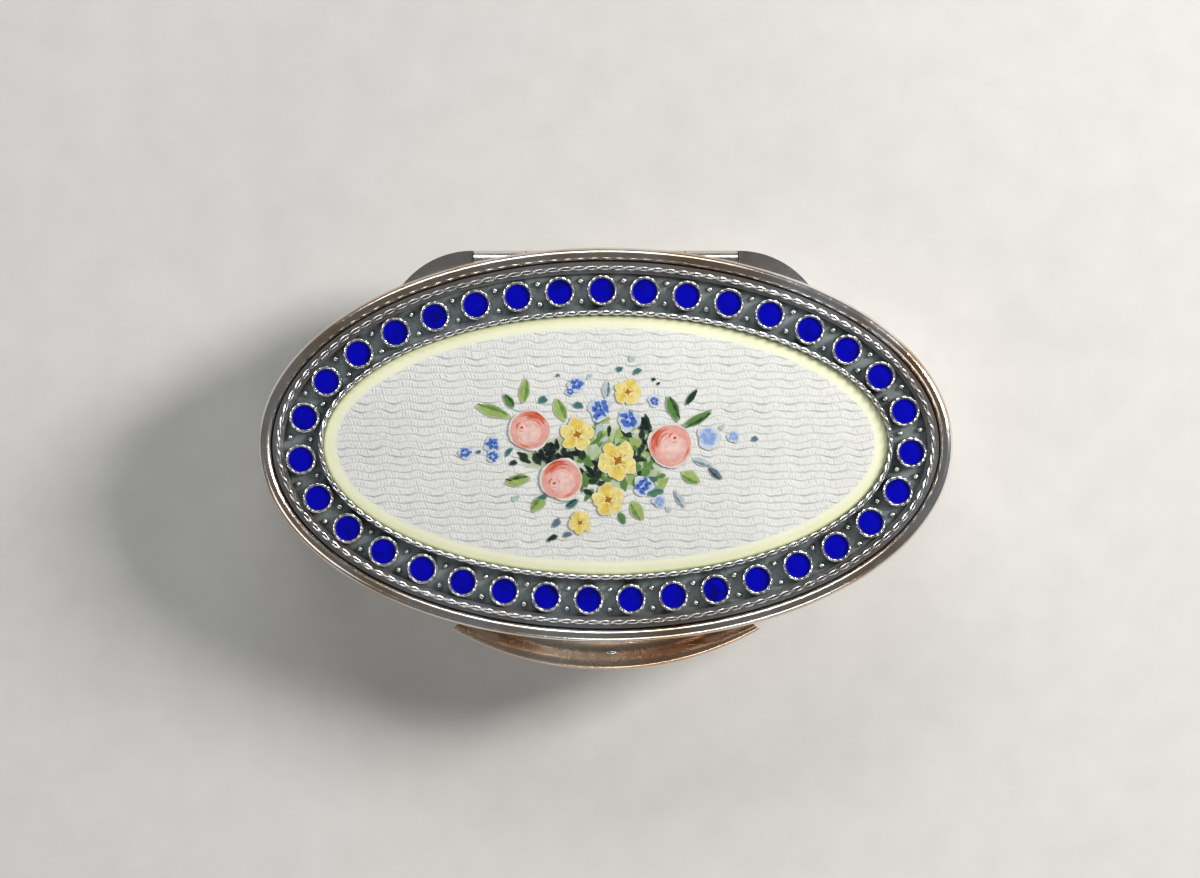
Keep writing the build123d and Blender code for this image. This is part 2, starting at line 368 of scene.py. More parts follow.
# Rope, collar and tray darken nearly to black in their hollows and round the collars: oxide there, and
# painted shade for the shadows the wires and collars cast
ropeSilver = silverMaterial("ropeSilver", {
    "clean": (0.92, 0.90, 0.89), "dark": (0.006, 0.007, 0.007), "warm": (0.66, 0.56, 0.50),
    "tarnish": 0.35, "warmAmount": 0.4, "creviceOxideAndShade": 1.35, "reach": 0.42,
    "smooth": 0.18, "rough": 0.4, "bump": 0.006})
collarSilver = silverMaterial("collarSilver", {
    "clean": (0.62, 0.65, 0.65), "dark": (0.010, 0.014, 0.014), "warm": (0.60, 0.56, 0.52),
    "tarnish": 0.6, "warmAmount": 0.3, "creviceOxideAndShade": 1.0, "reach": 0.5,
    "smooth": 0.25, "rough": 0.5, "bump": 0.01})
traySilver = silverMaterial("traySilver", {
    "clean": (0.40, 0.46, 0.46), "dark": (0.003, 0.004, 0.004), "warm": (0.28, 0.32, 0.32),
    "metallic": 0.55, "tarnish": 0.6, "warmAmount": 0.5, "creviceOxideAndShade": 1.15, "reach": 0.75,
    "smooth": 0.35, "rough": 0.6, "bump": 0.03})
ledgeSilver = silverMaterial("ledgeSilver", {
    "clean": (0.58, 0.59, 0.60), "dark": (0.03, 0.035, 0.035), "warm": (0.36, 0.25, 0.16),
    "tarnish": 0.7, "warmAmount": 0.55, "creviceOxideAndShade": 0.9, "reach": 0.5,
    "smooth": 0.28, "rough": 0.5, "bump": 0.012})
# The lip's long reach paints shade into its scoop, besides the oxide in it
lipSilver = silverMaterial("lipSilver", {
    "clean": (0.84, 0.70, 0.55), "dark": (0.10, 0.06, 0.04), "warm": (0.55, 0.26, 0.13),
    "tarnish": 0.6, "warmAmount": 0.8, "creviceOxideAndShade": 0.8, "reach": 1.0,
    "smooth": 0.2, "rough": 0.45, "bump": 0.012})
giltSilver = silverMaterial("giltSilver", {
    "clean": (0.90, 0.68, 0.34), "dark": (0.30, 0.17, 0.07), "warm": (0.80, 0.74, 0.62),
    "tarnish": 0.25, "warmAmount": 0.4, "creviceOxideAndShade": 0.6, "reach": 0.6,
    "smooth": 0.2, "rough": 0.42, "bump": 0.01})
pinSteel = silverMaterial("pinSteel", {
    "clean": (0.52, 0.51, 0.49), "dark": (0.10, 0.07, 0.05), "warm": (0.35, 0.22, 0.14),
    "tarnish": 0.4, "warmAmount": 0.4, "creviceOxideAndShade": 0.6, "reach": 0.4,
    "smooth": 0.25, "rough": 0.5, "bump": 0.01})
print("silver finishes made")


blueGlass = {
    "deep": (0.0, 0.0, 0.17), "bright": (0.0, 0.0, 0.40), "hole": (0.02, 0.02, 0.06),
    "cloudScale": 700, "clouds": (0.3, 0.5), "holeScale": 5200, "holes": ((0.7, 0.0), (0.76, 1.0)),
    "rough": 0.3, "specular": 0.15, "coat": 0.2, "coatRough": 0.06, "bump": 0.01,
}


# Cobalt enamel: deep glossy blue, a little lighter and darker in clouds, with a few pinholes
def makeBlueEnamel():
    material, tree, shader = newMaterial("cobaltEnamel")
    place = objectPlace(tree)
    clouds = noise(tree, place, blueGlass["cloudScale"], 3)
    holes = ramp(tree, noise(tree, place, blueGlass["holeScale"], 2), blueGlass["holes"])
    start, end = blueGlass["clouds"]
    colour = ramp(tree, clouds, ((start, blueGlass["deep"]), (end, blueGlass["bright"])))
    colour = mixColour(tree, holes, colour, blueGlass["hole"])
    tree.links.new(colour, shader.inputs["Base Color"])
    shader.inputs["Roughness"].default_value = blueGlass["rough"]
    shader.inputs["Specular IOR Level"].default_value = blueGlass["specular"]
    shader.inputs["Coat Weight"].default_value = blueGlass["coat"]
    shader.inputs["Coat Roughness"].default_value = blueGlass["coatRough"]
    tree.links.new(bump(tree, clouds, blueGlass["bump"] * mm), shader.inputs["Normal"])
    return material


# The engine turning under the pearl enamel: lengths are millimetres on the plaque
turning = {
    "rowPitch": 0.56, "waveLength": 2.25, "waveHeight": 0.085, "lean": 0.35, "drift": 0.9,
    "rowTurn": 1.9, "wobbleScale": 260, "shiverScale": 900, "phaseWobble": 2.5, "rowWobble": 0.55,
    "rowShiver": 0.75, "line": ((0.0, 1.0), (0.07, 0.85), (0.17, 0.0)),
    "fadeShiver": 2.2, "fade": ((0.0, 0.05), (1.0, 1.0)),
    "rowCycle": 6.0, "rowStrength": ((0.0, 0.15), (0.12, 0.15), (0.2, 1.0), (0.5, 0.6), (0.62, 1.0)),
    "tickPitch": 0.23, "tickLean": 0.3, "tickWobble": 26.0, "tickWave": 0.35,
    "dashScale": (3600, 2300, 1), "dashes": ((0.38, 0.0), (0.66, 1.0)),
    "clusterShift": 2.4, "cluster": ((0.0, 0.35), (0.6, 1.0)),
    "between": ((0.08, 0.0), (0.28, 1.0)), "paintedLitSide": ((0.2, 1.0), (0.85, 0.35)), "sideSpan": 44,
}
pearl = {
    "ground": (0.77, 0.78, 0.745), "line": (0.28, 0.29, 0.31), "paintedGlint": (1.0, 1.0, 1.0),
    "cream": (0.86, 0.88, 0.58), "creamInner": (0.86, 0.87, 0.66), "creamEdge": (0.50, 0.54, 0.24),
    "rampSpan": 3.0, "creamWidth": 0.9, "patternSoftness": 0.06, "creamStops": (0.0, 0.07, 0.26, 0.4),
    "edgeWobble": 0.2, "cloudScale": 140, "clouds": ((0.35, 0.93), (0.65, 1.0)),
    "fleckAndPaintedGlint": ((0.15, 0.0), (0.6, 1.0)), "flat": ((0.0, 0.3), (0.0, 0.0)), "lineDepth": 0.5,
    "paintedGlintDepth": 0.95, "sparkMetal": 0.3, "rough": 0.42, "sparkGloss": 0.2, "tickHeight": 0.5,
    "relief": 0.04, "coat": 0.6, "coatRough": 0.05,
}


# Wavy rows: gives each row's dark line, the distance from it, and the shifted phase of its waves
def waveRows(tree, x, y, wobble, shiver):
    turns = math.tau / turning["waveLength"]
    phase = timesPlus(tree, x, turns, times(tree, wobble, turning["phaseWobble"]))
    phase = timesPlus(tree, y, turning["lean"], phase)
    wave = times(tree, sine(tree, phase), turning["waveHeight"] / turning["rowPitch"])
    uneven = timesPlus(tree, wobble, turning["rowWobble"], times(tree, shiver, turning["rowShiver"]))
    row = plus(tree, plus(tree, over(tree, y, turning["rowPitch"]), wave), uneven)
    inRow = mathNode(tree, "FRACT", row)
    fromLine = mathNode(tree, "ABSOLUTE", minus(tree, inRow, 0.5))
    line = ramp(tree, fromLine, turning["line"], True)
    rowNumber = mathNode(tree, "FLOOR", row)
    rowShift = times(tree, sine(tree, times(tree, rowNumber, turning["rowTurn"])), turning["drift"])
    shifted = plus(tree, phase, rowShift)
    fade = timesPlus(tree, shiver, turning["fadeShiver"], sine(tree, shifted))
    fade = ramp(tree, timesPlus(tree, fade, 0.5, 0.5), turning["fade"])
    inCycle = mathNode(tree, "FRACT", over(tree, rowNumber, turning["rowCycle"]))
    rowStrength = ramp(tree, inCycle, turning["rowStrength"])
    return times(tree, line, times(tree, fade, rowStrength)), fromLine, shifted


# Fine ticks between the rows: uneven dashes in clusters that follow the waves, stronger towards the left
# end as painted light
def fineTicks(tree, place, x, y, wobble, fromLine, shifted):
    turns = math.tau / turning["tickPitch"]
    slant = timesPlus(tree, y, turns * turning["tickLean"], times(tree, wobble, turning["tickWobble"]))
    hatch = sine(tree, timesPlus(tree, x, turns, slant))
    dashPlace = stretched(tree, place, turning["dashScale"])
    dashes = ramp(tree, noise(tree, dashPlace, 1.0, 2, 0.6), turning["dashes"])
    hatch = timesPlus(tree, hatch, turning["tickWave"], dashes)
    cluster = ramp(tree, sine(tree, plus(tree, shifted, turning["clusterShift"])), turning["cluster"])
    # Painted light: the clusters fade from the left end to the right
    paintedLitSide = ramp(tree, timesPlus(tree, x, 1 / turning["sideSpan"], 0.5), turning["paintedLitSide"])
    cluster = times(tree, cluster, paintedLitSide)
    between = ramp(tree, fromLine, turning["between"])
    return times(tree, times(tree, hatch, cluster), between)


# Distance in from the oval's edge, in millimetres, found from how fast the oval fills
def inwardFromEdge(tree, x, y, halfX, halfY):
    shareX = over(tree, x, halfX)
    shareY = over(tree, y, halfY)
    filled = timesPlus(tree, shareX, shareX, times(tree, shareY, shareY))
    slopeX = over(tree, shareX, halfX)
    slopeY = over(tree, shareY, halfY)
    slope = timesPlus(tree, slopeX, slopeX, times(tree, slopeY, slopeY))
    slope = times(tree, mathNode(tree, "SQRT", slope), 2.0)
    slope = mathNode(tree, "MAXIMUM", slope, 0.001)  # the slope is nothing at the middle
    return over(tree, minus(tree, 1.0, filled), slope)


def makePearlEnamel(halfX, halfY):
    material, tree, shader = newMaterial("pearlEnamel")
    place = objectPlace(tree)
    split = tree.nodes.new("ShaderNodeSeparateXYZ")
    tree.links.new(place, split.inputs[0])
    x = times(tree, split.outputs[0], 1 / mm)
    y = times(tree, split.outputs[1], 1 / mm)
    wobble = minus(tree, noise(tree, place, turning["wobbleScale"], 2), 0.5)
    shiver = minus(tree, noise(tree, place, turning["shiverScale"], 2), 0.5)
    line, fromLine, shifted = waveRows(tree, x, y, wobble, shiver)
    tick = fineTicks(tree, place, x, y, wobble, fromLine, shifted)
    inward = inwardFromEdge(tree, x, y, halfX, halfY)
    inward = timesPlus(tree, wobble, pearl["edgeWobble"], inward)
    inward = over(tree, inward, pearl["rampSpan"])
    start = pearl["creamWidth"] / pearl["rampSpan"]
    pattern = ramp(tree, inward, ((start, 0.0), (start + pearl["patternSoftness"], 1.0)), True)
    line = times(tree, line, pattern)
    fleckAndPaintedGlint = times(tree, ramp(tree, tick, pearl["fleckAndPaintedGlint"]), pattern)
    creams = (pearl["creamEdge"], pearl["cream"], pearl["creamInner"], pearl["ground"])
    colour = ramp(tree, inward, tuple(zip(pearl["creamStops"], creams)), True)
    shade = times(tree, ramp(tree, tick, pearl["flat"]), pattern)
    shade = mathNode(tree, "MAXIMUM", times(tree, line, pearl["lineDepth"]), shade)
    colour = mixColour(tree, shade, colour, pearl["line"])
    # Painted glint: the tick crests are mixed towards white, on top of being made more metallic and
    # glossy
    colour = mixColour(tree, times(tree, fleckAndPaintedGlint, pearl["paintedGlintDepth"]), colour, pearl["paintedGlint"])
    clouds = ramp(tree, noise(tree, place, pearl["cloudScale"], 3), pearl["clouds"])
    colour = mixColour(tree, 1.0, colour, clouds, "MULTIPLY")
    tree.links.new(colour, shader.inputs["Base Color"])
    tree.links.new(times(tree, fleckAndPaintedGlint, pearl["sparkMetal"]), shader.inputs["Metallic"])
    rough = minus(tree, pearl["rough"], times(tree, fleckAndPaintedGlint, pearl["sparkGloss"]))
    tree.links.new(rough, shader.inputs["Roughness"])
    height = minus(tree, times(tree, times(tree, tick, pearl["tickHeight"]), pattern), line)
    tree.links.new(bump(tree, height, pearl["relief"] * mm), shader.inputs["Normal"])
    shader.inputs["Coat Weight"].default_value = pearl["coat"]
    shader.inputs["Coat Roughness"].default_value = pearl["coatRough"]
    return material


backGlass = {"scale": 500, "dark": (0.05, 0.07, 0.09), "light": (0.14, 0.18, 0.22), "rough": 0.2}


# Dark blue-grey enamel on the plaque's hidden back
def makeCounterEnamel():
    material, tree, shader = newMaterial("counterEnamel")
    clouds = noise(tree, objectPlace(tree), backGlass["scale"], 5)
    colour = ramp(tree, clouds, ((0.35, backGlass["dark"]), (0.65, backGlass["light"])))
    tree.links.new(colour, shader.inputs["Base Color"])
    shader.inputs["Roughness"].default_value = backGlass["rough"]
    return material


china = {"scale": 2400, "uneven": ((0.3, 0.8), (0.7, 1.0)), "rough": 0.35, "coat": 0.6,
         "coatRough": 0.05, "bump": 0.004}


# China paint: colours come from the piece's own attribute, with a slight brushed unevenness
def makeChinaPaint():
    material, tree, shader = newMaterial("chinaPaint")
    brushed = tree.nodes.new("ShaderNodeAttribute")
    brushed.attribute_name = "paint"
    uneven = ramp(tree, noise(tree, objectPlace(tree), china["scale"], 4), china["uneven"])
    colour = mixColour(tree, 1.0, brushed.outputs["Color"], uneven, "MULTIPLY")
    tree.links.new(colour, shader.inputs["Base Color"])
    shader.inputs["Roughness"].default_value = china["rough"]
    shader.inputs["Coat Weight"].default_value = china["coat"]
    shader.inputs["Coat Roughness"].default_value = china["coatRough"]
    tree.links.new(bump(tree, uneven, china["bump"] * mm), shader.inputs["Normal"])
    return material


cobaltEnamel = makeBlueEnamel()
counterEnamel = makeCounterEnamel()
chinaPaint = makeChinaPaint()
print("enamels made")

# The CAD's own solids that stay as they are and only get a finish
finishes = {
    bodySilver: ["base_pan", "lid_skirt", "hinge_bed", "base_knuckle_left", "base_knuckle_middle",
                 "base_knuckle_right", "lid_knuckle_left", "lid_knuckle_right"],
    giltSilver: ["base_bezel", "catch_bead", "lid_plate"],
    ledgeSilver: ["lid_ledge"],
    traySilver: ["filigree_tray", "plaque_bezel"],
    collarSilver: ["dot_collars"],
    pinSteel: ["hinge_pin"],
    rimSilver: ["lid_rim_wire", "base_rim_wire", "catch_nib", "plaque_plate"],
    counterEnamel: ["plaque_counter_enamel"],
}
for material, names in finishes.items():
    for name in names:
        nodes[name].data.materials.clear()
        nodes[name].data.materials.append(material)


def finishPiece(piece, material, node=None):
    piece.data.materials.clear()
    piece.data.materials.append(material)
    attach(piece, "lid")
    if node:
        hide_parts(node)


wireWork = {"curveSteps": 64, "repeatWeld": 0.003, "weld": 0.008, "smoothAngle": 60}


# An ellipse drawn as a curve, at a height
def ovalPath(halfX, halfY, z):
    startClean()
    bpy.ops.curve.primitive_bezier_circle_add(radius=1, location=(0, 0, z))
    path = bpy.context.object
    path.scale = (halfX, halfY, 1)
    bpy.ops.object.transform_apply(location=True, rotation=False, scale=True)
    path.data.resolution_u = wireWork["curveSteps"]
    return path


# One turn of a two-strand twist along X, repeated and bent round an oval
def twistedOval(name, values, halfX, halfY, middleZ):
    strandR = values["radius"] * mm * values["strandShare"]
    strandOffset = values["radius"] * mm - strandR
    turns = values["turns"]
    steps = values["steps"]
    path = ovalPath(halfX, halfY, 0)
    path.data.use_stretch = False
    pitch = path.data.splines[0].calc_length(resolution=wireWork["curveSteps"]) / turns
    bpy.ops.mesh.primitive_circle_add(
        vertices=values["sides"], radius=strandR,
        location=(0, strandOffset, 0), rotation=(0, math.pi / 2, 0))
    strand = named(name)
    applyPlace(strand)
    editSelect(strand, "VERT", lambda vertex: True)
    for _ in range(steps):
        bpy.ops.mesh.extrude_region_move(TRANSFORM_OT_translate={"value": (pitch / steps, 0, 0)})
        bpy.ops.transform.rotate(
            value=math.tau / steps, orient_axis="X", orient_type="GLOBAL", center_override=(0, 0, 0))
    objectMode()
    other = copyMesh(strand, Matrix.Rotation(math.pi, 4, "X"))
    twist = joinAll([strand, other], name)
    repeat = twist.modifiers.new("repeat", "ARRAY")
    repeat.use_relative_offset = False
    repeat.use_constant_offset = True
    repeat.constant_offset_displace = (pitch, 0, 0)
    repeat.count = turns
    repeat.use_merge_vertices = True
    repeat.merge_threshold = wireWork["repeatWeld"] * mm
    bend = twist.modifiers.new("bend", "CURVE")
    bend.object = path
    applyModifiers(twist)
    bpy.data.objects.remove(path)
    cleanNormals(twist, wireWork["weld"] * mm)
    twist.data.transform(Matrix.Translation((0, 0, middleZ)))
    smooth(twist, wireWork["smoothAngle"])
    return twist


def ropeFromNode(name, node, values):
    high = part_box(node)[1]
    radius = values["radius"] * mm
    rope = twistedOval(name, values, high.x - radius, high.y - radius, high.z - radius)
    finishPiece(rope, ropeSilver, node)


outerRope = {"radius": 0.33, "strandShare": 0.45, "turns": 62, "sides": 8, "steps": 14}
innerRope = {"radius": 0.32, "strandShare": 0.45, "turns": 60, "sides": 8, "steps": 14}
ropeFromNode("outerTwistedWire", "outer_rope", outerRope)
ropeFromNode("innerTwistedWire", "inner_rope", innerRope)
print("twisted wires made")

dotPlaces = solidMiddles("dot_enamels", 0.6 * mm)
collarRing = {
    "radius": 0.16, "strandShare": 0.46, "ringRadius": 1.015, "turns": 7, "sides": 6, "steps": 9,
}


# The small twisted ring on every collar, each turned its own way
def makeCollarRings():
    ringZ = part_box("dot_rope_rings")[1].z - collarRing["radius"] * mm
    ringR = collarRing["ringRadius"] * mm
    ring = twistedOval("collarRing", collarRing, ringR, ringR, ringZ)
    rings = []
    for place in dotPlaces:
        turn = Matrix.Rotation(random.uniform(0, math.tau), 4, "Z")
        rings.append(copyMesh(ring, Matrix.Translation((place.x, place.y, 0)) @ turn))
    bpy.data.objects.remove(ring)
    finishPiece(joinAll(rings, "collarTwistedRings"), ropeSilver, "dot_rope_rings")


# Each step of the poured dot goes in from its edge and then up or down, in millimetres
poured = {
    "radius": 0.88, "sides": 40, "edgeDrop": 0.04, "smoothAngle": 50,
    "steps": ((0.07, -0.02), (0.1, 0.0), (0.16, 0.012), (0.2, 0.01), (0.2, 0.006)),
}


# A poured dot: round, nearly flat, drawn up a little where it wets the collar
def makeBlueDots():
    low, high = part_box("dot_enamels")
    edgeZ = high.z - poured["edgeDrop"] * mm
    startClean()
    bpy.ops.mesh.primitive_cylinder_add(
        vertices=poured["sides"], radius=poured["radius"] * mm, depth=edgeZ - low.z,
        location=(0, 0, (edgeZ + low.z) / 2))
    dot = named("blueDot")
    applyPlace(dot)
    editSelect(dot, "FACE", lambda face: face.normal.z > 0.9)
    for inset, lift in poured["steps"]:
        bpy.ops.mesh.inset(thickness=inset * mm, depth=0)
        bpy.ops.transform.translate(value=(0, 0, lift * mm))
    objectMode()
    dots = [copyMesh(dot, Matrix.Translation((place.x, place.y, 0))) for place in dotPlaces]
    bpy.data.objects.remove(dot)
    dots = joinAll(dots, "blueEnamelDots")
    smooth(dots, poured["smoothAngle"])
    finishPiece(dots, cobaltEnamel, "dot_enamels")


grain = {"radius": 0.225, "apart": 0.3, "smallest": 0.86, "flattest": 0.94, "smoothAngle": 50}


# Little balls, slightly sunk and no two quite alike
def makeGranules(node, name):
    low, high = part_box(node)
    radius = grain["radius"] * mm
    startClean()
    bpy.ops.mesh.primitive_ico_sphere_add(
        subdivisions=3, radius=radius, location=(0, 0, high.z - radius))
    ball = named(name)
    applyPlace(ball)
    editSelect(ball, "FACE", lambda face: True)
    bpy.ops.mesh.bisect(
        plane_co=(0, 0, low.z), plane_no=(0, 0, 1), use_fill=True, clear_inner=True)
    objectMode()
    balls = []
    for place in solidMiddles(node, grain["apart"] * mm):
        size = random.uniform(grain["smallest"], 1.0)
        spin = Matrix.Rotation(random.uniform(0, math.tau), 4, "Z")
        squash = Matrix.Diagonal((size * random.uniform(grain["flattest"], 1.0), size, 1, 1))
        balls.append(copyMesh(ball, Matrix.Translation((place.x, place.y, 0)) @ spin @ squash))
    bpy.data.objects.remove(ball)
    balls = joinAll(balls, name)
    smooth(balls, grain["smoothAngle"])
    finishPiece(balls, ropeSilver, node)


makeCollarRings()
makeBlueDots()
makeGranules("granules_outer", "outerGranules")
makeGranules("granules_inner", "innerGranules")
print("channel filled:", len(dotPlaces), "dots")

# The dome lies a little under the solid's, so that the paint's thickness has room
plaque = {
    "rings": 14, "ringCrowding": 1.15, "sides": 160, "cadRise": 0.9, "rise": 0.77, "smoothAngle": 40,
}
plaqueLow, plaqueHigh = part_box("plaque_enamel")
halfX = plaqueHigh.x
halfY = plaqueHigh.y
edgeZ = plaqueHigh.z - plaque["cadRise"] * mm
domeRise = plaque["rise"] * mm
ballR = (halfY ** 2 + domeRise ** 2) / (2 * domeRise)


# Height of the dome's top surface above any point of the plaque
def domeHeight(x, y):
    fromMiddle2 = min((x * halfY / halfX) ** 2 + y ** 2, halfY ** 2)
    return edgeZ + domeRise - ballR + math.sqrt(ballR ** 2 - fromMiddle2)


# Cap of a large ball, stretched to the oval and thickened downwards
def makePlaque():
    startClean()
    bpy.ops.mesh.primitive_circle_add(
        vertices=plaque["sides"], radius=halfY, fill_type="NGON", location=(0, 0, plaqueLow.z))
    dome = named("pearlPlaque")
    applyPlace(dome)
    editSelect(dome, "FACE", lambda face: True)
    bpy.ops.mesh.extrude_region_move(
        TRANSFORM_OT_translate={"value": (0, 0, edgeZ - plaqueLow.z)})
    last = halfY
    for ring in range(1, plaque["rings"]):
        radius = halfY * (1 - (ring / plaque["rings"]) ** plaque["ringCrowding"])
        climb = math.sqrt(ballR ** 2 - radius ** 2) - math.sqrt(ballR ** 2 - last ** 2)
        bpy.ops.mesh.inset(thickness=last - radius, depth=0)
        bpy.ops.transform.translate(value=(0, 0, climb))
        last = radius
    bpy.ops.mesh.poke()
    objectMode()
    dome.data.transform(Matrix.Diagonal((halfX / halfY, 1, 1, 1)))
    cleanNormals(dome)
    smooth(dome, plaque["smoothAngle"])
    finishPiece(dome, makePearlEnamel(halfX / mm, halfY / mm), "plaque_enamel")


makePlaque()
print("plaque made")

# Thicknesses are millimetres: every dab lies a little over the last one, a big one more so
paint = {
    "firstLift": 0.004, "liftPerDab": 0.00008, "liftPerArea": 0.00025, "edgeDrop": 0.003,
    "ground": (0.76, 0.78, 0.73), "jitter": (0.88, 1.08), "mixCurve": 1.3, "edge": 0.95,
    "sides": 18, "insets": (0.3, 0.35), "smoothAngle": 60,
}
dabs = []
dabLifts = [paint["firstLift"]]


# The brush mark that every petal and leaf is copied from: an oval with three rings of points
def makeBrushMark():
    startClean()
    bpy.ops.mesh.primitive_circle_add(vertices=paint["sides"], radius=1, fill_type="NGON")
    mark = named("brushMark")
    editSelect(mark, "FACE", lambda face: True)
    for inset in paint["insets"]:
        bpy.ops.mesh.inset(thickness=inset, depth=0)
    bpy.ops.mesh.poke()
    objectMode()
    return mark


brushMark = makeBrushMark()


def blend(first, second, share):
    return [a * (1 - share) + b * share for a, b in zip(first, second)]


# One dab of paint, lengths in millimetres: colour runs from its middle to its rim, and softens
# into the enamel round its edge. Pointed dabs are leaves, wavy ones petals, bent ones strokes.
def dab(x, y, length, width, angle, middleColour, rimColour,
        pointed=0.0, wavy=0.08, bend=0.0, lean=0.0, soft=0.3):
    mesh = brushMark.data.copy()
    wavePhase = random.uniform(0, math.tau)
    dabLifts.append(dabLifts[-1] + (paint["liftPerDab"] + paint["liftPerArea"] * length * width))
    lift = dabLifts[-1] * mm
    colours = mesh.color_attributes.new("paint", "FLOAT_COLOR", "POINT")
    cosA = math.cos(angle)
    sinA = math.sin(angle)
    for index, vertex in enumerate(mesh.vertices):
        u, v = vertex.co.x, vertex.co.y
        outward = min(math.hypot(u, v), 1.0)
        turn = math.atan2(v, u)
        onEdge = outward > paint["edge"]
        mixTo = min(max(outward + lean * u, 0.0), 1.0) ** paint["mixCurve"]
        jitter = random.uniform(*paint["jitter"])
        colour = blend(blend(middleColour, rimColour, mixTo), paint["ground"], soft if onEdge else 0)
        colours.data[index].color = (*[min(max(part * jitter, 0), 1) for part in colour], 1)
        ripple = math.sin(3 * turn + wavePhase) + 0.6 * math.sin(5 * turn - wavePhase)
        u *= 1 + wavy * ripple
        v *= (1 + wavy * ripple) * (1 - pointed * abs(u) ** 1.5)
        along = u * length / 2
        across = v * width / 2 + bend * (u * u - 0.3) * length / 2
        px = (x + along * cosA - across * sinA) * mm
        py = (y + along * sinA + across * cosA) * mm
        edgeDrop = paint["edgeDrop"] * mm if onEdge else 0
        vertex.co = (px, py, domeHeight(px, py) + lift - edgeDrop)
    piece = bpy.data.objects.new("dab", mesh)
    bpy.context.scene.collection.objects.link(piece)
    dabs.append(piece)


# The point that lies a reach away from x, y at an angle
def away(x, y, angle, reach):
    return x + math.cos(angle) * reach, y + math.sin(angle) * reach


# A curved stroke that follows a circle round x, y
def arcStroke(x, y, reach, middle, halfSpan, width, colour, rim, soft):
    inward = 1 - 0.3 * (1 - math.cos(halfSpan))
    px, py = away(x, y, middle, reach * inward)
    dab(px, py, 2 * reach * math.sin(halfSpan), width, middle + math.pi / 2, colour, rim,
        pointed=0.5, wavy=0.03, bend=math.tan(halfSpan / 2), soft=soft)


rosePaint = {
    "pale": (0.86, 0.52, 0.47), "pink": (0.80, 0.34, 0.28), "coral": (0.66, 0.12, 0.06),
    "deep": (0.50, 0.06, 0.03), "light": (0.89, 0.62, 0.56), "halo": (0.80, 0.72, 0.67),
}
yellowPaint = {
    "pale": (0.88, 0.74, 0.26), "full": (0.80, 0.57, 0.08),
    "ochre": (0.52, 0.32, 0.02), "heart": (0.36, 0.08, 0.01),
}
bluePaint = {
    "pale": (0.36, 0.50, 0.78), "full": (0.05, 0.13, 0.50), "deep": (0.01, 0.02, 0.20),
    "halo": (0.62, 0.69, 0.78), "petalRim": (0.10, 0.22, 0.60), "palePetal": (0.22, 0.36, 0.70),
}
leafPaint = {
    "light": (0.34, 0.46, 0.13), "green": (0.10, 0.24, 0.05), "dark": (0.012, 0.035, 0.018),
    "black": (0.004, 0.010, 0.012), "teal": (0.05, 0.17, 0.17), "wash": (0.46, 0.55, 0.34),
    "slate": (0.12, 0.18, 0.25), "mist": (0.48, 0.57, 0.60),
}


# A cabbage rose: a pale ball with nested coral strokes on one side and a small spiral heart.
# The strokes say how far out they lie, their middle angle, half span, width and two colours.
def rose(x, y, radius, crescent, heartX, heartY):
    p = rosePaint
    far = crescent + math.pi
    dab(x, y, radius * 2.14, radius * 2.1, 0, p["halo"], p["halo"], wavy=0.05, soft=0.8)
    dab(x, y, radius * 2.0, radius * 1.95, 0.4, p["pale"], p["pink"], wavy=0.02, soft=0.1)
    for reach, middle, span, width, tone, rim in (
            (0.84, far - 0.75, 0.5, 0.16, "pink", "pale"),
            (0.86, far + 0.05, 0.45, 0.14, "coral", "pink"),
            (0.82, far + 0.8, 0.55, 0.18, "pink", "pink"),
            (0.80, crescent, 1.0, 0.34, "coral", "coral"),
            (0.84, crescent + 0.5, 0.6, 0.2, "coral", "pink"),
            (0.90, crescent - 0.1, 0.7, 0.1, "deep", "coral"),
            (0.60, crescent - 0.15, 0.95, 0.2, "pink", "coral"),
            (0.66, crescent + 0.2, 0.6, 0.08, "deep", "coral")):
        arcStroke(x, y, radius * reach, middle, span, radius * width, p[tone], p[rim], 0.05)
    bodyX, bodyY = away(x, y, far, radius * 0.14)
    dab(bodyX, bodyY, radius * 1.3, radius * 1.2, 0.2, p["light"], p["pale"], wavy=0.03, soft=0)
    for reach, middle, span, width in (
            (0.52, crescent - 0.5, 0.8, 0.09), (0.5, far - 0.5, 0.7, 0.08),
            (0.62, far + 0.45, 0.6, 0.08), (0.36, crescent + 0.5, 0.7, 0.07)):
        arcStroke(bodyX, bodyY, radius * reach, middle, span, radius * width, p["pink"], p["pale"], 0)
    hx = x + heartX * radius
    hy = y + heartY * radius
    for reach, middle, tone in ((0.26, 0.4, "pink"), (0.26, 2.6, "coral"), (0.2, 4.6, "pink")):
        arcStroke(hx, hy, radius * reach, middle, 0.9, radius * 0.09, p[tone], p[tone], 0)
    dab(hx, hy, radius * 0.2, radius * 0.16, 0.5, p["deep"], p["coral"], soft=0)


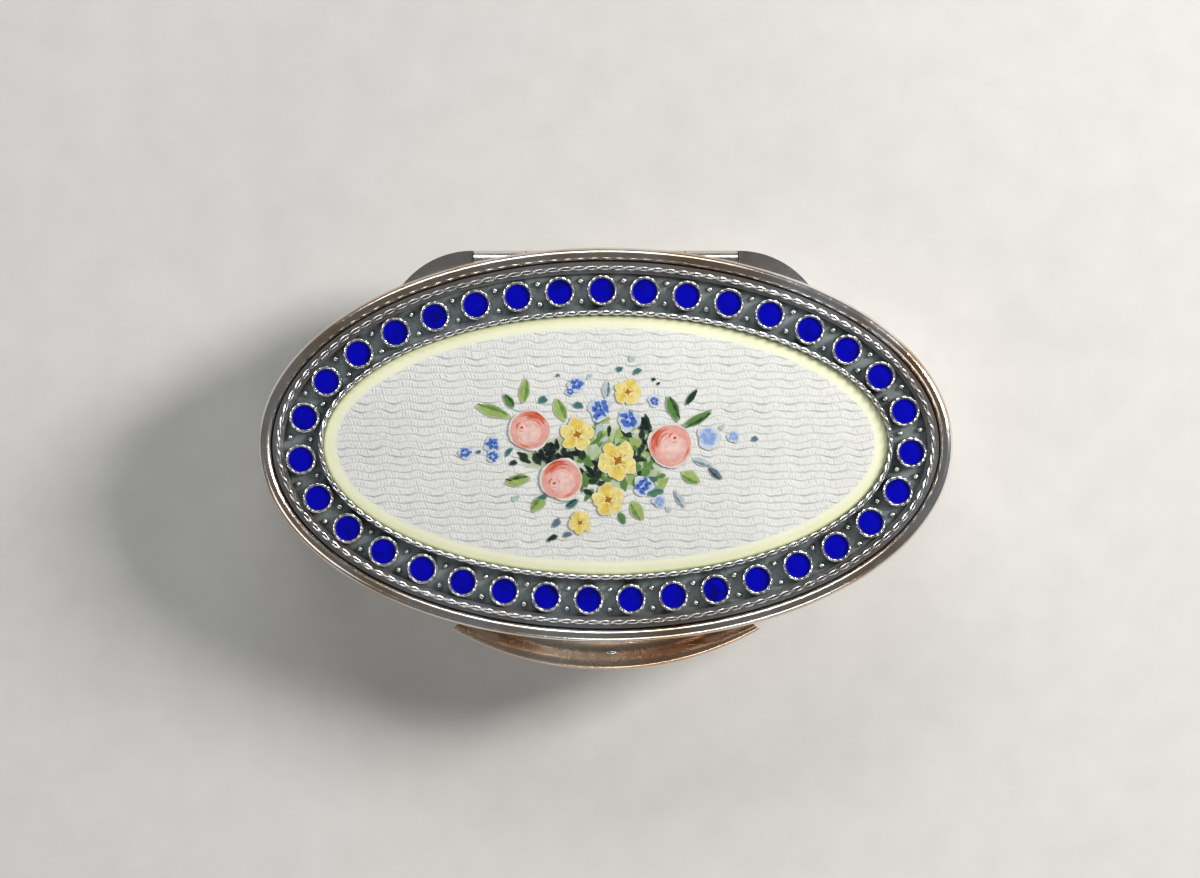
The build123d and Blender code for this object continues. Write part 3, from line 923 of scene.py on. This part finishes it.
# Five broad petals with ochre veins round a small dark heart
def yellowFlower(x, y, radius, turn, petals=5):
    p = yellowPaint
    for index in range(petals):
        angle = turn + index * math.tau / petals + random.uniform(-0.12, 0.12)
        px, py = away(x, y, angle, radius * 0.54)
        length = radius * random.uniform(0.9, 1.05)
        width = radius * random.uniform(0.85, 1.0)
        middle = p["full"] if index % 2 else p["pale"]
        dab(px, py, length, width, angle, middle, p["pale"], wavy=0.11, lean=-0.35, soft=0.4)
        for side in (-0.3, 0.05, 0.3):
            veinX, veinY = away(x, y, angle + side, radius * random.uniform(0.28, 0.42))
            dab(veinX, veinY, radius * 0.34, radius * 0.08, angle + side,
                p["ochre"], p["full"], soft=0)
        foldX, foldY = away(px, py, angle + 0.3, radius * 0.22)
        dab(foldX, foldY, radius * 0.4, radius * 0.14, angle + 1.2, p["full"], p["pale"],
            wavy=0.1, soft=0)
    dab(x, y, radius * 0.42, radius * 0.34, turn, p["heart"], p["ochre"], soft=0)
    for index in range(4):
        angle = turn + index * 1.6
        px, py = away(x, y, angle, radius * 0.17)
        dab(px, py, radius * 0.2, radius * 0.1, angle, p["heart"], p["heart"], soft=0)


# Loose touches of two blues on a pale blue wash
def blueFlower(x, y, radius, turn, tone):
    p = bluePaint
    petal, rim = (p["palePetal"], p["pale"]) if tone == "pale" else (p["full"], p["petalRim"])
    dab(x, y, radius * 2.0, radius * 1.9, turn, p["pale"], p["halo"], wavy=0.14, soft=0.6)
    for index in range(6):
        px, py = away(x, y, turn + index * 1.12, radius * random.uniform(0.32, 0.6))
        dab(px, py, radius * 0.85, radius * 0.6, random.uniform(0, math.pi), petal, rim,
            wavy=0.14, soft=0.2)
    if tone == "pale":
        return
    for index in range(4):
        px, py = away(x, y, turn + 0.5 + index * 1.6, radius * random.uniform(0.1, 0.55))
        dab(px, py, radius * 0.4, radius * 0.26, random.uniform(0, math.pi), p["deep"], p["full"],
            wavy=0.14, soft=0)
    dab(x + radius * 0.2, y + radius * 0.35, radius * 0.3, radius * 0.2, turn,
        p["pale"], p["full"], soft=0)


# A leaf from its stem end to its tip, with a darker half and three dark touches
def leaf(x0, y0, x1, y1, width, light, dark):
    light, dark = leafPaint[light], leafPaint[dark]
    angle = math.atan2(y1 - y0, x1 - x0)
    length = math.hypot(x1 - x0, y1 - y0)
    x = (x0 + x1) / 2
    y = (y0 + y1) / 2
    sideX = -math.sin(angle) * width * 0.2
    sideY = math.cos(angle) * width * 0.2
    dab(x, y, length, width, angle, light, light, pointed=0.5, wavy=0.05, bend=0.08, soft=0.4)
    dab(x - sideX, y - sideY, length * 0.9, width * 0.5, angle, dark, light,
        pointed=0.5, wavy=0.07, bend=0.08, soft=0.1)
    for share in (-0.28, 0.05, 0.3):
        px, py = away(x, y, angle, length * share)
        dab(px - sideX * 0.8, py - sideY * 0.8, length * 0.26, width * 0.16,
            angle + random.uniform(-0.5, 0.5), dark, dark, soft=0)


# Loose brush touches that fill the ground between the flowers, softer at first and then crisper
def foliageGround(x, y, halfLength, halfWidth, count, tones):
    for index in range(count):
        reach = math.sqrt(random.random())
        turn = random.uniform(0, math.tau)
        tone = leafPaint[tones[index % len(tones)]]
        px = x + math.cos(turn) * halfLength * reach
        py = y + math.sin(turn) * halfWidth * reach
        dab(px, py, random.uniform(0.6, 1.3), random.uniform(0.3, 0.6), random.uniform(0, math.pi),
            tone, tone, pointed=0.3, wavy=0.14, soft=0.2 if index < count // 2 else 0.05)


# Where everything grows on the plaque, in millimetres from its middle
bouquet = {
    "washes": (  # x, y, length, width, angle, waviness
        (1.2, -1.0, 6.2, 4.8, -0.3, 0.09), (-3.6, -0.7, 5.0, 2.6, 0.1, 0.1)),
    "foliage": (  # x, y, half length, half width, touches, tones
        (0.9, -0.6, 3.1, 2.4, 60, ("light", "green", "wash", "green")),
        (0.4, 1.1, 2.6, 0.9, 20, ("green", "light", "dark", "mist")),
        (2.6, -1.2, 1.2, 1.6, 20, ("dark", "green", "light")),
        (-0.9, -2.2, 1.0, 1.6, 18, ("dark", "green", "black")),
        (-3.0, -0.5, 1.9, 0.55, 22, ("black", "dark", "black")),
        (-5.2, -1.0, 1.3, 0.35, 8, ("dark", "black")),
        (3.0, 1.0, 0.4, 0.9, 8, ("black", "dark")),
        (3.4, -2.6, 1.3, 0.6, 10, ("light", "green", "teal"))),
    "leaves": (  # stem x, stem y, tip x, tip y, width, light half, dark half
        (-6.9, 2.0, -9.6, 2.9, 0.95, "light", "green"), (-6.1, 3.0, -5.85, 4.9, 0.85, "light", "green"),
        (-6.7, 2.7, -7.5, 3.7, 0.7, "green", "dark"), (-3.0, 1.7, -3.7, 3.4, 1.0, "light", "green"),
        (5.3, 1.7, 4.5, 3.6, 0.95, "green", "dark"), (5.8, 2.9, 6.7, 4.1, 0.5, "dark", "dark"),
        (5.6, 1.3, 7.8, 2.5, 0.75, "green", "dark"), (5.5, -2.0, 6.9, -2.7, 1.0, "light", "green"),
        (-5.5, -2.4, -7.4, -2.8, 0.95, "light", "dark"), (-4.4, -3.7, -5.4, -4.9, 0.95, "light", "green"),
        (1.9, -4.1, 2.7, -5.5, 1.05, "light", "green"), (1.0, -4.9, 1.4, -5.8, 0.6, "green", "teal"),
        (6.3, -1.0, 7.8, -1.5, 0.6, "mist", "slate"), (7.5, -1.6, 8.5, -2.5, 0.6, "slate", "dark"),
        (5.0, -3.3, 5.8, -4.6, 0.55, "mist", "slate"), (-2.0, -4.0, -2.9, -4.6, 0.6, "teal", "dark"),
        (0.0, 3.4, 0.1, 4.7, 0.7, "mist", "teal"), (3.0, -3.6, 4.3, -3.3, 0.6, "teal", "green")),
    "loose": (  # x, y, length, width, angle, tone
        (-4.6, 3.3, 0.7, 0.55, 0.3, "teal"), (-2.0, 2.9, 0.75, 0.5, -0.2, "teal"),
        (1.0, 5.55, 0.5, 0.4, 0.2, "teal"), (1.9, 6.3, 0.5, 0.45, 0, "mist"),
        (2.3, 5.4, 0.7, 0.4, 0.5, "teal"), (3.5, 4.8, 0.35, 0.25, 0, "dark"),
        (3.85, 4.5, 0.3, 0.2, 0.6, "dark"), (-3.5, 5.1, 0.3, 0.25, 0, "slate"),
        (-7.1, -0.5, 0.8, 0.35, 0.9, "teal"), (-6.75, -1.3, 0.6, 0.4, 0.2, "dark"),
        (-6.6, -3.9, 0.6, 0.4, 0.5, "mist"), (-3.6, -5.7, 0.8, 0.5, 0.9, "slate"),
        (-2.8, -6.55, 0.7, 0.4, 0.2, "slate"), (-3.9, -6.8, 0.9, 0.4, 0.5, "dark"),
        (10.9, 0.45, 0.5, 0.4, 0.2, "slate"), (8.5, 1.3, 0.5, 0.35, 0.7, "mist"),
        (-4.6, -3.8, 0.8, 0.4, 0.3, "teal"), (-9.3, -0.5, 0.4, 0.25, 0.2, "teal"),
        (-1.2, 5.0, 0.5, 0.3, 0.9, "mist"), (4.6, -4.7, 0.5, 0.35, -0.6, "mist")),
    "blueFlowers": (  # x, y, radius, turn, tone
        (-10.25, -0.6, 0.5, 0.2, "full"), (-8.3, 0.1, 0.6, 1.0, "full"),
        (-8.2, -0.8, 0.5, 0.3, "full"), (-2.12, 4.43, 0.62, 0.4, "full"),
        (-2.6, 3.9, 0.35, 1.4, "full"), (-0.45, 2.59, 0.85, 0.9, "full"),
        (1.7, 1.8, 0.85, 0.1, "full"), (3.54, 3.23, 0.45, 0.8, "full"),
        (7.52, 0.53, 0.85, 0.5, "pale"), (9.35, 0.6, 0.45, 0.2, "pale"),
        (2.73, -2.98, 0.75, 1.1, "full"), (3.93, -4.09, 0.5, 0.3, "pale")),
    "yellowFlowers": (  # x, y, radius, turn
        (-2.09, 0.76, 1.25, 0.3), (0.9, -1.15, 1.45, 0.9), (1.62, 3.87, 1.0, 0.1),
        (0.18, -4.01, 1.2, 0.5), (-1.88, -5.69, 0.85, 0.8)),
    "roses": (  # x, y, radius, angle of the dark crescent, place of the heart
        (-5.55, 1.1, 1.45, 1.2, -0.4, 0.12), (-3.24, -2.51, 1.48, 2.0, -0.35, -0.2),
        (4.73, -0.03, 1.55, 2.7, 0.2, 0.35)),
}


# The foliage comes first, so that the flowers lie over it
def paintBouquet():
    for x, y, length, width, angle, wavy in bouquet["washes"]:
        dab(x, y, length, width, angle, leafPaint["wash"], leafPaint["wash"], wavy=wavy, soft=0.7)
    for values in bouquet["foliage"]:
        foliageGround(*values)
    for values in bouquet["leaves"]:
        leaf(*values)
    for x, y, length, width, angle, tone in bouquet["loose"]:
        dab(x, y, length, width, angle, leafPaint[tone], leafPaint[tone], wavy=0.12)
    for values in bouquet["blueFlowers"]:
        blueFlower(*values)
    for values in bouquet["yellowFlowers"]:
        yellowFlower(*values)
    for values in bouquet["roses"]:
        rose(*values)
    painting = joinAll(dabs, "paintedBouquet")
    bpy.data.objects.remove(brushMark)
    smooth(painting, paint["smoothAngle"])
    finishPiece(painting, chinaPaint)


paintBouquet()
print("bouquet painted:", len(dabs), "dabs")

rimWire = {"radius": 0.5, "roundSteps": 6, "smoothAngle": 50}


# The round wire along the lid's edge, cut flat where it sits on the skirt
def makeRimWire():
    low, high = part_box("lid_rim_wire")
    radius = rimWire["radius"] * mm
    wire = ovalPath(high.x - radius, high.y - radius, high.z - radius)
    for point in wire.data.splines[0].bezier_points:
        point.radius = 1  # applying the oval's scale had shrunk it
    wire.data.bevel_depth = radius
    wire.data.bevel_resolution = rimWire["roundSteps"]
    bpy.ops.object.convert(target="MESH")
    wire = named("lidRimWire")
    editSelect(wire, "FACE", lambda face: True)
    bpy.ops.mesh.bisect(
        plane_co=(0, 0, low.z), plane_no=(0, 0, 1), use_fill=True, clear_inner=True)
    objectMode()
    cleanNormals(wire)
    smooth(wire, rimWire["smoothAngle"])
    finishPiece(wire, rimSilver, "lid_rim_wire")


# Lengths in millimetres; the scoop's middle is measured from the lip's outer edge
lip = {
    "arc": 23.3, "width": 3.4, "round": 0.36, "roundSteps": 6, "scoop": 0.42, "scoopFromEdge": 1.5,
    "scoopReach": 1.25, "topCuts": 24, "spinSteps": 72, "overrunAngle": 0.002, "wallSides": 220,
    "smoothAngle": 40,
}


# The lip's section, front to back: a bar with its front corners rounded and its top scooped
def makeLipSection(low, high):
    width = lip["width"] * mm
    middleY = low.y + width / 2
    nearTop = high.z - 0.01 * mm
    startClean()
    bpy.ops.mesh.primitive_plane_add(
        size=1, rotation=(0, math.pi / 2, 0), location=(0, middleY, (low.z + high.z) / 2))
    section = named("thumbLip")
    section.scale = (high.z - low.z, width, 1)
    applyPlace(section)
    editSelect(section, "VERT", lambda vertex: vertex.co.y < middleY)
    bpy.ops.mesh.bevel(offset=lip["round"] * mm, segments=lip["roundSteps"], affect="VERTICES")
    objectMode()
    editSelect(section, "VERT", lambda vertex: vertex.co.z > nearTop)
    bpy.ops.mesh.subdivide(number_cuts=lip["topCuts"])
    objectMode()
    scoopY = low.y + lip["scoopFromEdge"] * mm
    top = [vertex.co.y for vertex in section.data.vertices if vertex.co.z > nearTop]
    nearest = min(abs(y - scoopY) for y in top) + 0.001 * mm
    editSelect(
        section, "VERT",
        lambda vertex: vertex.co.z > nearTop and abs(vertex.co.y - scoopY) < nearest)
    bpy.ops.transform.translate(
        value=(0, 0, -lip["scoop"] * mm), use_proportional_edit=True,
        use_proportional_connected=True, proportional_edit_falloff="SMOOTH",
        proportional_size=lip["scoopReach"] * mm)
    objectMode()
    return section


# A crescent: its section is spun about the arc's middle, then trimmed to the wall and at the tips
def makeThumbLip():
    low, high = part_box("thumb_lip")
    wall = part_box("lid_skirt")[1]
    arc = lip["arc"] * mm
    arcY = low.y + arc
    piece = makeLipSection(low, high)
    editSelect(piece, "VERT", lambda vertex: True)
    half = math.asin(high.x / arc) + lip["overrunAngle"]
    bpy.ops.transform.rotate(
        value=-half, orient_axis="Z", orient_type="GLOBAL", center_override=(0, arcY, 0))
    bpy.ops.mesh.spin(
        steps=lip["spinSteps"], angle=2 * half, center=(0, arcY, 0), axis=(0, 0, 1))
    objectMode()
    cleanNormals(piece)
    bpy.ops.mesh.primitive_cylinder_add(
        vertices=lip["wallSides"], radius=1, depth=4 * (high.z - low.z), location=(0, 0, high.z))
    wallShape = bpy.context.object
    wallShape.scale = (wall.x, wall.y, 1)
    applyPlace(wallShape)
    trim = piece.modifiers.new("trim", "BOOLEAN")
    trim.operation = "DIFFERENCE"
    trim.solver = "EXACT"
    trim.object = wallShape
    applyModifiers(piece)
    bpy.data.objects.remove(wallShape)
    tipY = arcY - math.sqrt(arc ** 2 - high.x ** 2)
    for side in (-1, 1):
        editSelect(piece, "FACE", lambda face: True)
        bpy.ops.mesh.bisect(
            plane_co=(side * high.x, tipY, 0), plane_no=(side, 1, 0), use_fill=True, clear_outer=True)
        objectMode()
    cleanNormals(piece)
    smooth(piece, lip["smoothAngle"])
    finishPiece(piece, lipSilver, "thumb_lip")
    return piece


bead = {
    "x": 0.4, "fromEdge": 1.25, "size": (0.4, 0.15, 0.14), "nearX": 0.6, "nearY": 0.15,
    "smoothAngle": 60,
}


# A stray bead of solder in the lip's hollow
def makeSolderBead(lipPiece):
    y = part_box("thumb_lip")[0].y + bead["fromEdge"] * mm
    near = [vertex.co.z for vertex in lipPiece.data.vertices
            if abs(vertex.co.x) < bead["nearX"] * mm and abs(vertex.co.y - y) < bead["nearY"] * mm]
    startClean()
    bpy.ops.mesh.primitive_ico_sphere_add(
        subdivisions=3, radius=mm, location=(bead["x"] * mm, y, max(near)))
    drop = named("solderBead")
    drop.scale = bead["size"]
    applyPlace(drop)
    smooth(drop, bead["smoothAngle"])
    finishPiece(drop, ropeSilver)


makeRimWire()
makeSolderBead(makeThumbLip())
print("rim wire and lip made")

paper = {
    "size": 2.4, "drop": 0.02, "scale": 300, "dark": (0.62, 0.61, 0.59), "light": (0.66, 0.65, 0.63),
    "rough": 0.85,
}


# A plain pale sheet of paper to stand on
def makeStage():
    startClean()
    bpy.ops.mesh.primitive_plane_add(size=paper["size"], location=(0, 0, -paper["drop"] * mm))
    sheet = named("paleFloor")
    material, tree, shader = newMaterial("palePaper")
    clouds = noise(tree, objectPlace(tree), paper["scale"], 4)
    colour = ramp(tree, clouds, ((0.3, paper["dark"]), (0.7, paper["light"])))
    tree.links.new(colour, shader.inputs["Base Color"])
    shader.inputs["Roughness"].default_value = paper["rough"]
    sheet.data.materials.append(material)


def addSoftLight(name, place, target, size, power, colour):
    startClean()
    bpy.ops.object.light_add(type="AREA", location=place)
    lamp = bpy.context.object
    lamp.name = name
    lamp.data.shape = "RECTANGLE"
    lamp.data.size, lamp.data.size_y = size
    lamp.data.energy = power
    lamp.data.color = colour
    lamp.rotation_euler = (Vector(target) - Vector(place)).to_track_quat("-Z", "Y").to_euler()


lidTop = cadBox[1].z
lights = {  # places and sizes in metres
    "key": {"place": (0.27, 0.11, 0.20), "size": (0.09, 0.14),
        "power": 1.5, "colour": (1.0, 0.97, 0.93)},
    "window": {"place": (-0.04, 0.30, 0.22), "size": (0.26, 0.09),
        "power": 0.45, "colour": (0.95, 0.98, 1.0)},
    "fill": {"place": (-0.28, -0.20, 0.30), "size": (0.2, 0.2),
        "power": 0.24, "colour": (0.95, 0.97, 1.0)},
    "front": {"place": (0.08, -0.32, 0.16), "size": (0.2, 0.05),
        "power": 0.25, "colour": (1.0, 0.95, 0.88)},
}
for name, light in lights.items():
    addSoftLight(name, light["place"], (0, 0, lidTop), light["size"], light["power"], light["colour"])
makeStage()

sky = {"colour": (0.9, 0.95, 1.0, 1), "strength": 0.14}
world = bpy.data.worlds.new("studio")
bpy.context.scene.world = world
world.use_nodes = True
background = world.node_tree.nodes["Background"]
background.inputs["Color"].default_value = sky["colour"]
background.inputs["Strength"].default_value = sky["strength"]

# The camera looks straight down; width is what it sees of the lid's plane, in millimetres
view = {"width": 88.2, "offX": -0.42, "offY": 0.44, "below": 1.5, "lens": 100, "sensor": 36}
bpy.ops.object.camera_add(rotation=(0, 0, 0))
camera = bpy.context.object
camera.data.lens = view["lens"]
camera.data.sensor_width = view["sensor"]
camera.data.clip_start = 0.005
height = view["width"] * mm * view["lens"] / view["sensor"]
camera.location = (view["offX"] * mm, view["offY"] * mm, lidTop - view["below"] * mm + height)
bpy.context.scene.camera = camera
bpy.context.scene.view_settings.view_transform = "Standard"
print("stage, lights and camera set")

bpy.context.view_layer.update()
